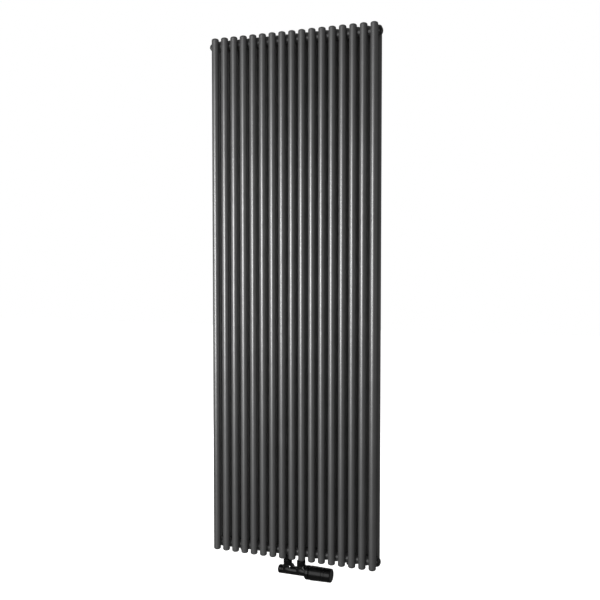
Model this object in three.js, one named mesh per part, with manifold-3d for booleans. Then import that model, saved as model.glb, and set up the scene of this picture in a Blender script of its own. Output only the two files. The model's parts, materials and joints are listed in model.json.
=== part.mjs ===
/**
 * A vertical tubular radiator with two rows of round tubes, two horizontal headers between
 * the rows, four wall brackets and a thermostatic valve at the bottom centre.
 *
 * Millimetres. +X is to the right, +Y points to the wall and +Z is up. The origin is on the
 * wall, at the middle of the two rows of tubes and at the middle of their length.
 *
 * Every round surface is a prism whose flat faces stand at the stated radius.
 */
import * as THREE from 'three';
import { mergeVertices } from 'three/addons/utils/BufferGeometryUtils.js';
import Module from 'manifold-3d';

const wasm = await Module();
wasm.setup();

// ---- Driving dimensions -------------------------------------------------------------

// The tubes
const tubeLength = 1800;
const tubesPerRow = 17;
const tubeDiameter = 25;
const tubeGap = 11;
const tubeWall = 1.5;
const tubeEndRounding = 6;
const tubeEndCrown = 1.5;
const rowGap = 19;
const waterPortDiameter = 5;

// The headers, and the plugs in their right ends
const headerDiameter = 30;
const headerWall = 2.5;
const headerInset = 25;
const headerReach = 13;
const headerDomeHeight = 10;
const topDomeHeight = 18;
const plugShankDiameter = 17;
const plugShankLength = 10;
const plugSeatThickness = 5;
const plugKeySize = 8;
const plugKeyDepth = 4;
const ventSpindleDiameter = 6;
const ventSpindleTaper = 2;
const ventSpindleRecess = 1.5;
const ventSlotWidth = 1;
const ventSlotDepth = 1.5;
const ventSeatThickness = 3;
const ventSeatGap = 1;
const ventHoleDiameter = 3;

// The wall brackets
const wallToHeader = 75;
const bracketPitches = 5.5;
const bracketArmSideGap = 2.5;
const bracketCradleGap = 1.2;
const bracketCradleDepth = 6;
const bracketPlateWidth = 64;
const bracketPlateHeight = 42;
const bracketPlateThickness = 4;
const bracketArmDrop = 3.8;
const bracketPlateLift = 8;
const bracketLipAngle = 225;
const bracketUnderAngle = 288;
const bracketRearAngle = 351;
const screwHoleDiameter = 8.4;
const screwSpacing = 44;

// The valve block and its unions
const connectionSpacing = 50;
const valveDrop = 45;
const blockDiameter = 30;
const blockLeftShoulder = 4;
const blockRightShoulder = 1.7;
const chamberDiameter = 16;
const cartridgeBoreDiameter = 18;
const middleWall = 28;
const stubHeight = 20;
const spigotDiameter = 23;
const spigotLength = 10;
const unionNutHeight = 19;
const unionLipThickness = 5;
const nutChamfer = 1.5;
const nippleSideGap = 0.8;
const nippleWall = 1.7;
const nippleFlangeThickness = 3;
const nippleInHeader = 3;

// The pipe connections at the back of the block
const pipeDiameter = 15;
const pipeClearance = 0.1;
const pipeSpigotReach = 28;
const pipeSocketDepth = 12;
const pipeNutSize = 26;
const pipeNutLength = 13;
const pipeNutReach = 33;
const pipeNutLip = 4.5;
const waterwayDiameter = 10;

// The lockshield on the left
const capLength = 14;
const capRounding = 5;
const capWall = 4;
const capSpigotLength = 8;
const lockSpindleLength = 16;
const lockSpindleRecess = 3;
const lockSpindleTipDiameter = 8;
const lockSpindleTipLength = 4;
const lockKeySize = 6;
const lockKeyDepth = 6;

// The thermostatic cartridge and its spindle
const headThreadDiameter = 24;
const headThreadLength = 2.8;
const cartridgeDepth = 7.7;
const cartridgeLength = 16.5;
const cartridgeNeckDiameter = 12;
const cartridgeEndWall = 2.5;
const springChamberDiameter = 8.4;
const valvePinDiameter = 3;
const valvePinTipLength = 1.8;
const valvePlugDiameter = 14;
const valvePlugLift = 16;
const valvePlugThickness = 3;
const springCollarPlace = 10.5;
const springCollarThickness = 1.5;
const springWireDiameter = 0.9;
const springTurns = 3;
const springTravelGap = 1.7;

// The thermostatic head
const headNutDiameter = 48.6;
const headNutLength = 14.5;
const headNutRounding = 6;
const headNutLip = 1.7;
const headNeckDiameter = 20;
const headFlangeDiameter = 41;
const headFlangeThickness = 1.7;
const headCoreDiameter = 28;
const headCoreLength = 53.5;
const headMouthGap = 1;
const sensorDiameter = 19;
const sensorLength = 36;
const sensorWall = 1.2;
const sensorMouthDiameter = 5;
const sensorTravelGap = 11.5;
const sensorWebGap = 0.7;
const pressurePinDiameter = 4;
const pressurePinInSensor = 20;
const handwheelLength = 78;
const handwheelDiameter = 50;
const handwheelTaper = 1.7;
const handwheelWall = 3;
const handwheelChamfer = 2.6;
const handwheelRounding = 3;
const handwheelBossDiameter = 16;
const handwheelBossGap = 2;

// Clearances
const fixedGap = 0.3;
const slidingGap = 0.3;
const turningGap = 1;
const handwheelEndGap = 0.5;
const cutterOverrun = 1;

// ---- Places that follow from the sizes -----------------------------------------------

const tubeRadius = tubeDiameter / 2;
const tubePitch = tubeDiameter + tubeGap;
const rowSpacing = tubeDiameter + rowGap;
const headerRadius = headerDiameter / 2;
const nippleDiameter = rowGap - 2 * nippleSideGap;
const nippleBoreDiameter = nippleDiameter - 2 * nippleWall;
const headerZ = tubeLength / 2 - headerInset;
const headerY = -wallToHeader;
const frontRowY = headerY - rowSpacing / 2;
const rearRowY = headerY + rowSpacing / 2;
const lastTubeX = (tubesPerRow - 1) / 2 * tubePitch;
const headerEndX = lastTubeX + headerReach;
const valveZ = -(tubeLength / 2 + valveDrop);
const connectionX = connectionSpacing / 2;
const bracketX = bracketPitches * tubePitch;
const bracketArmThickness = tubeGap - 2 * bracketArmSideGap;
const plugInnerX = headerEndX + fixedGap - plugShankLength;
const plugOuterX = headerEndX + headerDomeHeight;

// Along the valve, from the middle between its connections
const blockLeftEnd = -connectionX - blockDiameter / 2 - blockLeftShoulder;
const blockRightEnd = connectionX + blockDiameter / 2 + blockRightShoulder;
const blockThreadEnd = blockRightEnd + headThreadLength;
const cartridgeStart = blockRightEnd - cartridgeDepth;
const cartridgeEnd = cartridgeStart + cartridgeLength;
const springCollarX = cartridgeStart + springCollarPlace;
const valvePinEnd = cartridgeEnd + valvePinTipLength;
const headNutStart = blockRightEnd + fixedGap;
const headNutEnd = headNutStart + headNutLength;
const headFlangeStart = headNutEnd + fixedGap;
const headFlangeEnd = headFlangeStart + headFlangeThickness;
const headCoreEnd = headFlangeEnd + headCoreLength;
const sensorWebStart = valvePinEnd + sensorWebGap;
const sensorStart = headFlangeEnd + sensorTravelGap;
const handwheelStart = headFlangeEnd + handwheelEndGap;
const handwheelEnd = handwheelStart + handwheelLength;

// ---- Solids --------------------------------------------------------------------------

/** The closed solid of a three.js geometry. */
function solidOf(geometry) {
  const bare = geometry.index ? geometry.toNonIndexed() : geometry.clone();
  bare.deleteAttribute('normal');
  bare.deleteAttribute('uv');
  const merged = mergeVertices(bare, 1e-4);
  const vertProperties = new Float32Array(merged.attributes.position.array);
  const triVerts = new Uint32Array(merged.index.array);
  return new wasm.Manifold(new wasm.Mesh({ numProp: 3, vertProperties, triVerts }));
}

/** The three.js geometry of a solid. */
function geometryOf(solid) {
  const mesh = solid.getMesh();
  const geometry = new THREE.BufferGeometry();
  geometry.setAttribute('position', new THREE.BufferAttribute(mesh.vertProperties, 3));
  geometry.setIndex(new THREE.BufferAttribute(mesh.triVerts, 1));
  geometry.computeVertexNormals();
  return geometry;
}

function joined(first, ...others) {
  return others.reduce((whole, other) => whole.add(other), first);
}

function cut(first, ...others) {
  return others.reduce((whole, other) => whole.subtract(other), first);
}

/**
 * A solid turned about an axis through the origin. The outline's points are [radius, height]
 * and run up the outside, so that the faces point out.
 */
function turned(outline, sides, axis = 'z') {
  const stretch = 1 / Math.cos(Math.PI / sides);
  const points = outline.map(([radius, height]) => new THREE.Vector2(radius * stretch, height));
  const geometry = new THREE.LatheGeometry(points, sides);
  geometry.rotateY(Math.PI / sides);
  if (axis === 'z') {
    geometry.rotateX(Math.PI / 2);
  }
  if (axis === 'x') {
    geometry.rotateZ(-Math.PI / 2);
  }
  return solidOf(geometry);
}

/** A plain round bar from one height to another along an axis. */
function bar(diameter, from, to, sides, axis = 'z') {
  const radius = diameter / 2;
  return turned([[0, from], [radius, from], [radius, to], [0, to]], sides, axis);
}

/** Points of a quarter ellipse, from the widest point of a dome to just short of its top. */
function domeOutline(radius, height, baseHeight, steps) {
  const points = [];
  for (let step = 0; step < steps; step += 1) {
    const angle = step / steps * Math.PI / 2;
    points.push([radius * Math.cos(angle), baseHeight + height * Math.sin(angle)]);
  }
  return points;
}

// ---- The parts -----------------------------------------------------------------------

const radiator = new THREE.Group();

const finishes = {
  satinPaint: { color: '#3a3b3d', roughness: 0.45, metalness: 0.2 },
  glossPlastic: { color: '#0b0b0c', roughness: 0.18, metalness: 0 },
  glossPaint: { color: '#0d0d0e', roughness: 0.22, metalness: 0.1 },
  brass: { color: '#b7975a', roughness: 0.35, metalness: 1 },
  steel: { color: '#9b9da0', roughness: 0.3, metalness: 1 },
  drawnAluminium: { color: '#c9c6be', roughness: 0.4, metalness: 0.9 },
};

function addPart(name, geometry, finish, x = 0, y = 0, z = 0) {
  const mesh = new THREE.Mesh(geometry, new THREE.MeshStandardMaterial(finishes[finish]));
  mesh.name = name;
  mesh.position.set(x, y, z);
  radiator.add(mesh);
}

/** A closed tube with a water port to each header, which face towards +Y. */
function makeTube() {
  const sides = 12;
  const straightEnd = tubeLength / 2 - tubeEndRounding - tubeEndCrown;
  const flatRadius = tubeRadius - tubeEndRounding;
  const shell = turned([
    [0, -tubeLength / 2],
    [flatRadius, -straightEnd - tubeEndRounding],
    [tubeRadius, -straightEnd],
    [tubeRadius, straightEnd],
    [flatRadius, straightEnd + tubeEndRounding],
    [0, tubeLength / 2],
  ], sides);
  const hollow = bar(tubeDiameter - 2 * tubeWall, -straightEnd, straightEnd, sides);
  const ports = [-headerZ, headerZ].map((portZ) => (
    bar(waterPortDiameter, 0, tubeDiameter, 6, 'y').translate(0, 0, portZ)));
  return cut(shell, hollow, ...ports);
}

/** What a header is hollowed by to clear the tubes beside it. */
function makeTubeCutters(centreZ) {
  const reach = headerRadius + 2 * cutterOverrun;
  const cutter = bar(tubeDiameter + 2 * fixedGap, centreZ - reach, centreZ + reach, 12);
  const cutters = [];
  for (let number = 0; number < tubesPerRow; number += 1) {
    const tubeX = number * tubePitch - lastTubeX;
    cutters.push(cutter.translate(tubeX, frontRowY, 0), cutter.translate(tubeX, rearRowY, 0));
  }
  return cutters;
}

/** A header with a domed left end and a threaded seat for a plug in its right end. */
function makeHeader(centreZ, domeHeight) {
  const boreRadius = headerRadius - headerWall;
  const seatRadius = plugShankDiameter / 2 + fixedGap;
  const dome = domeOutline(headerRadius, domeHeight, headerEndX, 3)
    .map(([radius, x]) => [radius, -x])
    .reverse();
  const shell = turned([
    [0, -headerEndX - domeHeight],
    ...dome,
    [headerRadius, headerEndX],
    [seatRadius, headerEndX],
    [seatRadius, headerEndX - plugSeatThickness],
    [boreRadius, headerEndX - plugSeatThickness],
    [boreRadius, -headerEndX],
    [0, -headerEndX],
  ], 12, 'x').translate(0, headerY, centreZ);
  return cut(shell, ...makeTubeCutters(centreZ));
}

/** The bottom header also takes the valve's two nipples from below. */
function makeBottomHeader() {
  const socketStart = -headerZ - headerRadius - cutterOverrun;
  const socket = bar(nippleDiameter + 2 * fixedGap, socketStart, -headerZ, 16);
  const sockets = [-connectionX, connectionX].map((x) => socket.translate(x, headerY, 0));
  return cut(makeHeader(-headerZ, headerDomeHeight), ...sockets);
}

function plugOutline() {
  const seatX = headerEndX + fixedGap;
  return [
    [0, plugInnerX],
    [plugShankDiameter / 2, plugInnerX],
    [plugShankDiameter / 2, seatX],
    ...domeOutline(headerRadius, headerDomeHeight - fixedGap, seatX, 3),
    [0, plugOuterX],
  ];
}

/** A blind plug with a hexagonal key socket. */
function makeBlindPlug() {
  const key = bar(plugKeySize, plugOuterX - plugKeyDepth, plugOuterX + cutterOverrun, 6, 'x');
  return cut(turned(plugOutline(), 16, 'x'), key);
}

/** A plug with a stepped hole through it for the vent spindle. */
function makeVentPlug() {
  const seatX = plugInnerX + ventSeatThickness;
  const spindleHole = bar(ventSpindleDiameter + 2 * slidingGap, seatX,
    plugOuterX + cutterOverrun, 12, 'x');
  const ventHole = bar(ventHoleDiameter, plugInnerX - cutterOverrun, seatX + cutterOverrun, 12, 'x');
  return cut(turned(plugOutline(), 16, 'x'), spindleHole, ventHole);
}

/** The spindle that opens the vent, with a screwdriver slot in its outer end. */
function makeVentSpindle() {
  const outerX = plugOuterX - ventSpindleRecess;
  const tipX = plugInnerX + ventSeatThickness + ventSeatGap;
  const spindle = turned([
    [0, tipX],
    [ventSpindleDiameter / 2, tipX + ventSpindleTaper],
    [ventSpindleDiameter / 2, outerX],
    [0, outerX],
  ], 8, 'x');
  const slot = new THREE.BoxGeometry(2 * ventSlotDepth, ventSlotWidth,
    ventSpindleDiameter + 2 * cutterOverrun);
  slot.translate(outerX, 0, 0);
  return cut(spindle, solidOf(slot));
}

/**
 * A wall plate with an arm that runs between two rear tubes and cradles a header from below.
 * It is placed with its header's axis at z = 0.
 */
function makeBracket() {
  const cradleRadius = headerRadius + bracketCradleGap;
  const outerRadius = cradleRadius + bracketCradleDepth;
  const armHeight = outerRadius + bracketArmDrop;
  const armEndY = cutterOverrun - bracketPlateThickness;
  const lipAngle = THREE.MathUtils.degToRad(bracketLipAngle);
  const rearAngle = THREE.MathUtils.degToRad(bracketRearAngle);
  const underAngle = THREE.MathUtils.degToRad(bracketUnderAngle);
  const side = new THREE.Shape();
  side.absarc(headerY, 0, outerRadius, lipAngle, underAngle, false);
  side.lineTo(armEndY, -armHeight);
  side.lineTo(armEndY, cradleRadius * Math.sin(rearAngle));
  side.absarc(headerY, 0, cradleRadius, rearAngle, lipAngle, true);
  const arm = new THREE.ExtrudeGeometry(side, {
    depth: bracketArmThickness, bevelEnabled: false, curveSegments: 6,
  });
  // The shape's own x runs along +Y, its y along +Z and its depth along +X.
  arm.applyMatrix4(new THREE.Matrix4().makeBasis(
    new THREE.Vector3(0, 1, 0), new THREE.Vector3(0, 0, 1), new THREE.Vector3(1, 0, 0)));
  arm.translate(-bracketArmThickness / 2, 0, 0);
  const plateMiddle = bracketPlateLift - bracketPlateHeight / 2;
  const plate = new THREE.BoxGeometry(bracketPlateWidth, bracketPlateThickness, bracketPlateHeight);
  plate.translate(0, -bracketPlateThickness / 2, plateMiddle);
  const holes = [-1, 1].map((end) => (
    bar(screwHoleDiameter, -bracketPlateThickness - cutterOverrun, cutterOverrun, 8, 'y')
      .translate(end * screwSpacing / 2, 0, plateMiddle)));
  return cut(joined(solidOf(plate), solidOf(arm)), ...holes);
}

/**
 * The valve block, about its own centre: a horizontal barrel with two stubs up to the unions,
 * two spigots back to the pipes, a lockshield chamber on the left and a cartridge on the right.
 */
function makeValveBlock() {
  const radius = blockDiameter / 2;
  const spigotRadius = spigotDiameter / 2;
  const threadRadius = headThreadDiameter / 2;
  const barrel = turned([
    [0, blockLeftEnd - capSpigotLength],
    [spigotRadius, blockLeftEnd - capSpigotLength],
    [spigotRadius, blockLeftEnd],
    [radius, blockLeftEnd],
    [radius, blockRightEnd],
    [threadRadius, blockRightEnd],
    [threadRadius, blockThreadEnd],
    [0, blockThreadEnd],
  ], 16, 'x');
  const stub = turned([
    [0, 0],
    [radius, 0],
    [radius, stubHeight],
    [spigotRadius, stubHeight],
    [spigotRadius, stubHeight + spigotLength],
    [0, stubHeight + spigotLength],
  ], 16);
  const pipeSpigot = bar(spigotDiameter, 0, pipeSpigotReach, 16, 'y');
  const chamberStart = blockLeftEnd - capSpigotLength - cutterOverrun;
  const chamber = bar(chamberDiameter, chamberStart, -middleWall / 2, 16, 'x');
  const cartridgeBore = bar(cartridgeBoreDiameter, middleWall / 2,
    blockThreadEnd + cutterOverrun, 16, 'x');
  const riser = bar(nippleBoreDiameter, 0, stubHeight + spigotLength + cutterOverrun, 12);
  const waterway = bar(waterwayDiameter, 0, pipeSpigotReach, 12, 'y');
  const pipeSocket = bar(pipeDiameter + 2 * pipeClearance, pipeSpigotReach - pipeSocketDepth,
    pipeSpigotReach + cutterOverrun, 16, 'y');
  const sides = [-connectionX, connectionX];
  const outside = joined(barrel,
    ...sides.map((x) => stub.translate(x, 0, 0)),
    ...sides.map((x) => pipeSpigot.translate(x, 0, 0)));
  const passages = [riser, waterway, pipeSocket]
    .flatMap((passage) => sides.map((x) => passage.translate(x, 0, 0)));
  return cut(outside, chamber, cartridgeBore, ...passages);
}

/** The smooth union nut that pulls a nipple down onto a stub of the block. */
function makeUnionNut() {
  const bottom = stubHeight + fixedGap;
  const top = bottom + unionNutHeight;
  const outer = blockDiameter / 2;
  const threadRadius = spigotDiameter / 2 + fixedGap;
  const neckRadius = nippleDiameter / 2 + fixedGap;
  return turned([
    [threadRadius, bottom],
    [outer, bottom],
    [outer, top - nutChamfer],
    [outer - nutChamfer, top],
    [neckRadius, top],
    [neckRadius, top - unionLipThickness],
    [threadRadius, top - unionLipThickness],
    [threadRadius, bottom],
  ], 16);
}

/** The flanged nipple that is screwed into the bottom header. */
function makeTailNipple() {
  const flangeTop = stubHeight + fixedGap + unionNutHeight - unionLipThickness - fixedGap;
  const flangeBottom = flangeTop - nippleFlangeThickness;
  const top = valveDrop + headerInset - headerRadius + nippleInHeader;
  return turned([
    [nippleBoreDiameter / 2, flangeBottom],
    [spigotDiameter / 2 - fixedGap, flangeBottom],
    [spigotDiameter / 2 - fixedGap, flangeTop],
    [nippleDiameter / 2, flangeTop],
    [nippleDiameter / 2, top],
    [nippleBoreDiameter / 2, top],
    [nippleBoreDiameter / 2, flangeBottom],
  ], 16);
}

/** A hexagonal compression nut, open at the back for the pipe. */
function makePipeNut() {
  const front = pipeNutReach - pipeNutLength;
  const outside = bar(pipeNutSize, front, pipeNutReach, 6, 'y');
  const thread = bar(spigotDiameter + 2 * fixedGap, front - cutterOverrun,
    pipeNutReach - pipeNutLip, 16, 'y');
  const pipeHole = bar(pipeDiameter + 2 * pipeClearance, front,
    pipeNutReach + cutterOverrun, 16, 'y');
  return cut(outside, thread, pipeHole);
}

/** The round-nosed cover over the lockshield spindle. */
function makeLockshieldCap() {
  const mouth = blockLeftEnd - fixedGap;
  const nose = mouth - capLength;
  const radius = blockDiameter / 2;
  const threadRadius = spigotDiameter / 2 + fixedGap;
  const nosePoints = domeOutline(capRounding, capRounding, 0, 3)
    .map(([across, along]) => [radius - capRounding + across, nose + capRounding - along])
    .reverse();
  return turned([
    [0, nose],
    [radius - capRounding, nose],
    ...nosePoints,
    [radius, mouth],
    [threadRadius, mouth],
    [threadRadius, nose + capWall],
    [0, nose + capWall],
  ], 16, 'x');
}

/** The screwed spindle that shuts off the left-hand flow, with a hexagonal key socket. */
function makeLockSpindle() {
  const radius = chamberDiameter / 2 - slidingGap;
  const outerEnd = blockLeftEnd - lockSpindleRecess;
  const tipX = outerEnd + lockSpindleLength;
  const spindle = turned([
    [0, outerEnd],
    [radius, outerEnd],
    [radius, tipX - lockSpindleTipLength],
    [lockSpindleTipDiameter / 2, tipX],
    [0, tipX],
  ], 16, 'x');
  const key = bar(lockKeySize, outerEnd - cutterOverrun, outerEnd + lockKeyDepth, 6, 'x');
  return cut(spindle, key);
}

/** The brass cartridge that guides the valve pin and holds its spring. */
function makeCartridge() {
  const radius = cartridgeBoreDiameter / 2 - fixedGap;
  const shoulder = blockThreadEnd - fixedGap;
  const pinRadius = valvePinDiameter / 2 + slidingGap;
  const chamberRadius = springChamberDiameter / 2;
  return turned([
    [pinRadius, cartridgeStart],
    [radius, cartridgeStart],
    [radius, shoulder],
    [cartridgeNeckDiameter / 2, shoulder],
    [cartridgeNeckDiameter / 2, cartridgeEnd],
    [pinRadius, cartridgeEnd],
    [pinRadius, cartridgeEnd - cartridgeEndWall],
    [chamberRadius, cartridgeEnd - cartridgeEndWall],
    [chamberRadius, cartridgeStart + cartridgeEndWall],
    [pinRadius, cartridgeStart + cartridgeEndWall],
    [pinRadius, cartridgeStart],
  ], 16, 'x');
}

/** The valve pin with its plug and the collar that its spring pushes. */
function makeValveSpindle() {
  const pin = valvePinDiameter / 2;
  const collar = springChamberDiameter / 2 - slidingGap;
  const plugX = cartridgeStart - valvePlugLift;
  return turned([
    [0, plugX],
    [valvePlugDiameter / 2, plugX],
    [valvePlugDiameter / 2, plugX + valvePlugThickness],
    [pin, plugX + valvePlugThickness],
    [pin, springCollarX],
    [collar, springCollarX],
    [collar, springCollarX + springCollarThickness],
    [pin, springCollarX + springCollarThickness],
    [pin, valvePinEnd],
    [0, valvePinEnd],
  ], 12, 'x');
}

/** A helix along X, from the radius and the two ends of its centre line. */
class SpringPath extends THREE.Curve {
  constructor(radius, from, to, turns) {
    super();
    this.radius = radius;
    this.from = from;
    this.to = to;
    this.turns = turns;
  }

  getPoint(share, target = new THREE.Vector3()) {
    const angle = share * this.turns * Math.PI * 2;
    const x = this.from + (this.to - this.from) * share;
    return target.set(x, this.radius * Math.cos(angle), this.radius * Math.sin(angle));
  }
}

/** The spring that lifts the valve plug off its seat. */
function makeReturnSpring() {
  const wire = springWireDiameter / 2;
  const meanRadius = (springChamberDiameter / 2 + valvePinDiameter / 2) / 2;
  const path = new SpringPath(meanRadius,
    cartridgeStart + cartridgeEndWall + wire + fixedGap,
    springCollarX - wire - springTravelGap, springTurns);
  const section = new THREE.Shape();
  section.absarc(0, 0, wire, 0, Math.PI * 2, false);
  const geometry = new THREE.ExtrudeGeometry(section, {
    steps: springTurns * 8, curveSegments: 3, extrudePath: path, bevelEnabled: false,
  });
  return solidOf(geometry);
}

/** The nut that holds the thermostatic head on the block. */
function makeHeadNut() {
  const outer = headNutDiameter / 2;
  const threadRadius = headThreadDiameter / 2 + fixedGap;
  const neckRadius = headNeckDiameter / 2 + fixedGap;
  const lipStart = headNutEnd - headNutLip;
  const edge = domeOutline(headNutRounding, headNutRounding, 0, 3)
    .map(([across, along]) => (
      [outer - headNutRounding + across, headNutStart + headNutRounding - along]))
    .reverse();
  return turned([
    [threadRadius, headNutStart],
    [outer - headNutRounding, headNutStart],
    ...edge,
    [outer, headNutEnd],
    [neckRadius, headNutEnd],
    [neckRadius, lipStart],
    [threadRadius, lipStart],
    [threadRadius, headNutStart],
  ], 16, 'x');
}

/** The fixed core of the thermostatic head, which the handwheel turns about. */
function makeHeadBase() {
  const collarStart = blockThreadEnd + fixedGap;
  const collarEnd = headNutEnd - headNutLip - fixedGap;
  const collarRadius = headThreadDiameter / 2;
  const neckRadius = headNeckDiameter / 2;
  const mouthRadius = cartridgeNeckDiameter / 2 + headMouthGap;
  const sensorRadius = sensorDiameter / 2 + slidingGap;
  const pinRadius = pressurePinDiameter / 2 + slidingGap;
  const coreRadius = headCoreDiameter / 2;
  return turned([
    [mouthRadius, collarStart],
    [collarRadius, collarStart],
    [collarRadius, collarEnd],
    [neckRadius, collarEnd],
    [neckRadius, headFlangeStart],
    [headFlangeDiameter / 2, headFlangeStart],
    [headFlangeDiameter / 2, headFlangeEnd],
    [coreRadius, headFlangeEnd],
    [coreRadius, headCoreEnd],
    [sensorRadius, headCoreEnd],
    [sensorRadius, headFlangeEnd],
    [pinRadius, headFlangeEnd],
    [pinRadius, sensorWebStart],
    [mouthRadius, sensorWebStart],
    [mouthRadius, collarStart],
  ], 16, 'x');
}

/** The handwheel: a slightly tapered shell with a closed end and a boss behind the sensor. */
function makeHandwheel() {
  const rimRadius = handwheelDiameter / 2;
  const endRadius = rimRadius - handwheelTaper;
  const boreRadius = headCoreDiameter / 2 + turningGap;
  const webEnd = handwheelStart + handwheelWall;
  const innerEnd = handwheelEnd - handwheelWall;
  const bossRadius = handwheelBossDiameter / 2;
  const bossStart = sensorStart + sensorLength + handwheelBossGap;
  return turned([
    [0, bossStart],
    [bossRadius, bossStart],
    [bossRadius, innerEnd],
    [endRadius - handwheelWall, innerEnd],
    [rimRadius - handwheelWall, webEnd],
    [boreRadius, webEnd],
    [boreRadius, handwheelStart],
    [rimRadius - handwheelChamfer, handwheelStart],
    [rimRadius, handwheelStart + handwheelChamfer],
    [endRadius, handwheelEnd - handwheelRounding],
    [endRadius - handwheelRounding, handwheelEnd],
    [0, handwheelEnd],
  ], 24, 'x');
}

/** The metal cup that holds the wax, with a mouth for the pressure pin. */
function makeWaxSensor() {
  const end = sensorStart + sensorLength;
  const outer = sensorDiameter / 2;
  const inner = outer - sensorWall;
  const mouth = sensorMouthDiameter / 2;
  return turned([
    [0, end - sensorWall],
    [inner, end - sensorWall],
    [inner, sensorStart + sensorWall],
    [mouth, sensorStart + sensorWall],
    [mouth, sensorStart],
    [outer, sensorStart],
    [outer, end],
    [0, end],
  ], 16, 'x');
}

/** The pin that carries the wax's stroke to the valve spindle. */
function makePressurePin() {
  const start = valvePinEnd + fixedGap;
  return bar(pressurePinDiameter, start, sensorStart + pressurePinInSensor, 8, 'x');
}

// ---- The assembly --------------------------------------------------------------------

const tube = geometryOf(makeTube());
const turnedTube = tube.clone().rotateZ(Math.PI);
for (let number = 1; number <= tubesPerRow; number += 1) {
  const label = String(number).padStart(2, '0');
  const tubeX = (number - 1) * tubePitch - lastTubeX;
  addPart(`front_tube_${label}`, tube, 'satinPaint', tubeX, frontRowY, 0);
  addPart(`rear_tube_${label}`, turnedTube, 'satinPaint', tubeX, rearRowY, 0);
}

addPart('top_header', geometryOf(makeHeader(headerZ, topDomeHeight)), 'satinPaint');
addPart('bottom_header', geometryOf(makeBottomHeader()), 'satinPaint');
addPart('vent_plug', geometryOf(makeVentPlug()), 'glossPlastic', 0, headerY, headerZ);
addPart('vent_spindle', geometryOf(makeVentSpindle()), 'brass', 0, headerY, headerZ);
addPart('blind_plug', geometryOf(makeBlindPlug()), 'glossPlastic', 0, headerY, -headerZ);

const bracket = geometryOf(makeBracket());
for (const [height, bracketZ] of [['top', headerZ], ['bottom', -headerZ]]) {
  addPart(`${height}_left_bracket`, bracket, 'satinPaint', -bracketX, 0, bracketZ);
  addPart(`${height}_right_bracket`, bracket, 'satinPaint', bracketX, 0, bracketZ);
}

function addValvePart(name, solid, finish, x = 0) {
  addPart(name, geometryOf(solid), finish, x, headerY, valveZ);
}

addValvePart('valve_block', makeValveBlock(), 'glossPaint');
for (const [side, x] of [['left', -connectionX], ['right', connectionX]]) {
  addValvePart(`${side}_union_nut`, makeUnionNut(), 'glossPaint', x);
  addValvePart(`${side}_tail_nipple`, makeTailNipple(), 'glossPaint', x);
  addValvePart(`${side}_pipe_nut`, makePipeNut(), 'glossPaint', x);
}
addValvePart('lockshield_cap', makeLockshieldCap(), 'glossPlastic');
addValvePart('lockshield_spindle', makeLockSpindle(), 'brass');
addValvePart('thermostatic_cartridge', makeCartridge(), 'brass');
addValvePart('valve_spindle', makeValveSpindle(), 'steel');
addValvePart('return_spring', makeReturnSpring(), 'steel');
addValvePart('head_nut', makeHeadNut(), 'glossPaint');
addValvePart('head_base', makeHeadBase(), 'glossPlastic');
addValvePart('handwheel', makeHandwheel(), 'glossPlastic');
addValvePart('wax_sensor', makeWaxSensor(), 'drawnAluminium');
addValvePart('pressure_pin', makePressurePin(), 'steel');

export default radiator;
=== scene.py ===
"""A tall tubular radiator with a thermostatic valve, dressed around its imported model."""

import json
import math

import bmesh
import bpy
import numpy as np
from bpy.props import FloatProperty, FloatVectorProperty, IntProperty, PointerProperty
from mathutils import Matrix, Vector


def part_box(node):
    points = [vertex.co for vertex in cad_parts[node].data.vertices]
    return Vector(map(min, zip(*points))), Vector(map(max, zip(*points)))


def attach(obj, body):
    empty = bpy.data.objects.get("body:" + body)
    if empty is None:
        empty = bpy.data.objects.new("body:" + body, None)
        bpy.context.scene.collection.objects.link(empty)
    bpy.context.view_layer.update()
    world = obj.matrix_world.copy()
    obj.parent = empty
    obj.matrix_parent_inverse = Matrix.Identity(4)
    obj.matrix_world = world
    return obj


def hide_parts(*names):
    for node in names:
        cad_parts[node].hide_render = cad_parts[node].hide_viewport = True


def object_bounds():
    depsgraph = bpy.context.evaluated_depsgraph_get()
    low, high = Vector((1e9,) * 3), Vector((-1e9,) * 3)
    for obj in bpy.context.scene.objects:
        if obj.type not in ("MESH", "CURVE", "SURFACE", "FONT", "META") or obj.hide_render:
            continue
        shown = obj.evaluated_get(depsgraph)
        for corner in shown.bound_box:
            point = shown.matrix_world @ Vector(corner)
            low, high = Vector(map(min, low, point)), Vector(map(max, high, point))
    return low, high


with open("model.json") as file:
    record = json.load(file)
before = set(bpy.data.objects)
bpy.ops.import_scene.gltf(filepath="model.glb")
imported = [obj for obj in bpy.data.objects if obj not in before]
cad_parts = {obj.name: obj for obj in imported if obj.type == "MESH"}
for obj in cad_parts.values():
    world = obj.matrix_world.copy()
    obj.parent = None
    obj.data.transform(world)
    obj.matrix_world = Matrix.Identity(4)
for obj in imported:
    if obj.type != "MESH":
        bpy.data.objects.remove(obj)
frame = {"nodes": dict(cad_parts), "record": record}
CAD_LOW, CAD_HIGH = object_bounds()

bl_info = {
    "name": "Tubular Radiator",
    "version": (1, 0, 0),
    "blender": (4, 5, 0),
    "location": "3D View > Sidebar > Radiator",
    "description": "Models the tubes, headers, brackets and valve of a tubular radiator",
    "category": "Object",
}

MM = 0.001
FLOOR_DROP = 0.16               # metres from the valve down to the floor
AXES = {"x": Vector((1, 0, 0)), "y": Vector((0, 1, 0)), "z": Vector((0, 0, 1))}
SIDEWAYS = {"x": Vector((0, 1, 0)), "y": Vector((1, 0, 0)), "z": Vector((1, 0, 0))}
ROWS = ("front", "rear")
SIDES = ("left", "right")
HEIGHTS = ("top", "bottom")
TUBES_PER_ROW = sum(name.startswith("front_tube_") for name in frame["nodes"])
FIXED_GAP = 0.3 * MM            # left between two pieces that don't move on each other

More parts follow.
